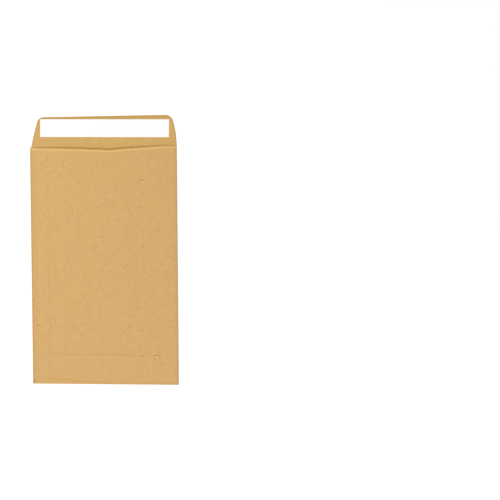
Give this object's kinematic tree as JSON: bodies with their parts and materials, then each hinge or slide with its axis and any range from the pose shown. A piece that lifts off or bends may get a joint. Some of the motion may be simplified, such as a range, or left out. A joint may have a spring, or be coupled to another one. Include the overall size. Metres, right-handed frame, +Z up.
{
  "type": "paper envelope",
  "caption": "Slim open-end brown paper envelope lying on its front, with a round-cornered self-seal flap folded open and a white peel-off liner over its glue.",
  "frame": {"origin": "on the surface that the envelope lies on, under the middle of its outline with the seal flap open", "axes": "+Y from the foot fold to the tip of the seal flap, +X across the width with the side seam at -X, +Z up, off the back panel"},
  "size_m": [0.11, 0.1983, 0.0014],
  "materials": {
    "brown_paper": "uncoated, matt, cloudy, with short bent fibres and a few dark specks",
    "clear_glue": "tacky, slightly glossy film",
    "white_liner": "silicone coated, smooth, satin"
  },
  "bodies": {
    "root": {"envelope": "brown_paper", "seal_adhesive": "clear_glue", "release_liner": "white_liner"}
  },
  "joints": []
}
